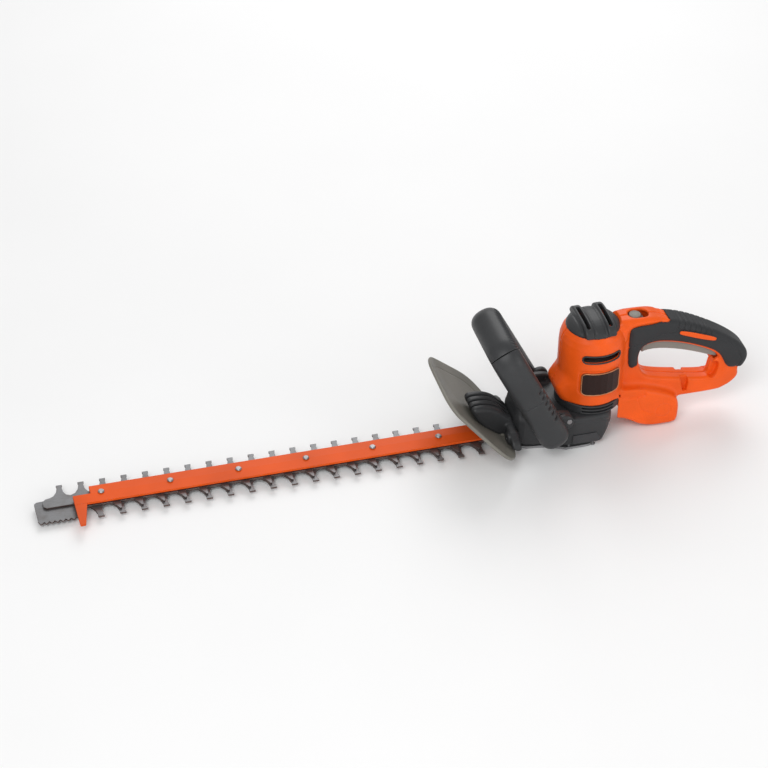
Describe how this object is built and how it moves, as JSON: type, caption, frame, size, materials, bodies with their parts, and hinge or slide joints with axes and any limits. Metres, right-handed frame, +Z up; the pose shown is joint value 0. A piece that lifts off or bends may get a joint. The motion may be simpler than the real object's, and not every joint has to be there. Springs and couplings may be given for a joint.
{
  "type": "corded hedge trimmer",
  "caption": "Corded hedge trimmer with toothed reciprocating blades, a dished hand guard, a front bail handle, an upright motor housing and a rear handle with a squeeze lever.",
  "frame": {"origin": "on the flat underside of the base plate, in the mid-plane of the tool, 14 mm behind the axis of the drive gear", "axes": "+X from the blade tip to the rear handle, +Y to the right of the person holding it, +Z up"},
  "size_m": [0.889, 0.164, 0.1712],
  "materials": {
    "orange_plastic": "satin moulded orange plastic",
    "orange_paint": "orange powder coat on folded steel",
    "dark_plastic": "dark grey moulded plastic, fine grain",
    "soft_grip": "soft overmoulded grip",
    "guard_grey": "warm grey moulded plastic",
    "grey_plastic": "warm grey moulded plastic",
    "label_grey": "plain plate, no print",
    "name_plate": "plain dark copper plate, no print",
    "blade_steel": "ground blade steel",
    "plated_steel": "zinc-plated sheet",
    "steel": "machined steel",
    "copper": "copper segments",
    "brass": "brass blades",
    "carbon": "pressed carbon"
  },
  "bodies": {
    "tool": {"bail_arm_left": "dark_plastic", "bail_arm_right": "dark_plastic", "bail_grip": "dark_plastic", "bail_screw_left": "steel", "bail_screw_right": "steel", "base_label_left": "label_grey", "base_label_right": "label_grey", "base_plate": "plated_steel", "base_screw_1": "steel", "base_screw_2": "steel", "base_screw_3": "steel", "base_screw_4": "steel", "blade_bar": "orange_paint", "blade_bolt_1": "steel", "blade_bolt_2": "steel", "blade_bolt_3": "steel", "blade_bolt_4": "steel", "blade_bolt_5": "steel", "blade_bolt_6": "steel", "brush_left": "carbon", "brush_right": "carbon", "gear_case": "dark_plastic", "gear_post": "steel", "grip_cover": "soft_grip", "grip_inlay_left": "orange_plastic", "grip_inlay_right": "orange_plastic", "guard_bracket": "dark_plastic", "hand_guard": "guard_grey", "housing_left": "orange_plastic", "housing_right": "orange_plastic", "housing_screw_1": "steel", "housing_screw_2": "steel", "housing_screw_3": "steel", "inlet_blade_left": "brass", "inlet_blade_right": "brass", "inlet_block": "dark_plastic", "lower_bearing": "steel", "lower_bearing_plate": "dark_plastic", "motor_skirt": "dark_plastic", "motor_stator": "steel", "name_plate_left": "name_plate", "name_plate_right": "name_plate", "switch_body": "dark_plastic", "trigger_pin": "steel", "upper_bearing": "steel", "upper_end_plate": "dark_plastic", "vent_cap": "dark_plastic"},
    "upper_blade": {"upper_blade": "blade_steel"},
    "lower_blade": {"lower_blade": "blade_steel"},
    "armature": {"armature_shaft": "steel", "motor_pinion": "steel", "armature_core": "steel", "commutator": "copper", "cooling_fan": "dark_plastic"},
    "gear": {"drive_gear": "steel", "upper_eccentric": "steel", "lower_eccentric": "steel"},
    "trigger": {"trigger_lever": "grey_plastic"},
    "plunger": {"switch_plunger": "grey_plastic"},
    "button": {"lock_button": "grey_plastic"}
  },
  "joints": [
    {"name": "gear_spin", "type": "hinge", "parent": "tool", "child": "gear", "pos_m": [-0.014, 0, 0.0325], "axis": [0, 0, 1], "continuous": true},
    {"name": "armature_spin", "type": "hinge", "parent": "tool", "child": "armature", "pos_m": [0.0247, 0, 0.09], "axis": [0, 0, 1], "continuous": true},
    {"name": "upper_blade_slide", "type": "slide", "parent": "tool", "child": "upper_blade", "axis": [1, 0, 0], "range_m": [-0.0065, 0.0065]},
    {"name": "lower_blade_slide", "type": "slide", "parent": "tool", "child": "lower_blade", "axis": [1, 0, 0], "range_m": [-0.0065, 0.0065]},
    {"name": "trigger_squeeze", "type": "hinge", "parent": "tool", "child": "trigger", "pos_m": [0.187, 0, 0.089], "axis": [0, 1, 0], "range_deg": [0, 4], "stiffness_Nm_per_rad": 1.5, "springref_deg": -8.02},
    {"name": "plunger_press", "type": "slide", "parent": "tool", "child": "plunger", "axis": [0, 0, 1], "range_m": [0, 0.0047]},
    {"name": "lock_button_slide", "type": "slide", "parent": "tool", "child": "button", "axis": [1, 0, 0], "range_m": [0, 0.008], "stiffness_N_per_m": 150, "springref_m": -0.004}
  ],
  "couplings": [
    {"joint": "armature_spin", "follows": "gear_spin", "ratio": -5},
    {"joint": "lower_blade_slide", "follows": "upper_blade_slide", "ratio": -1},
    {"joint": "plunger_press", "follows": "trigger_squeeze", "m_per_rad": 0.066}
  ]
}
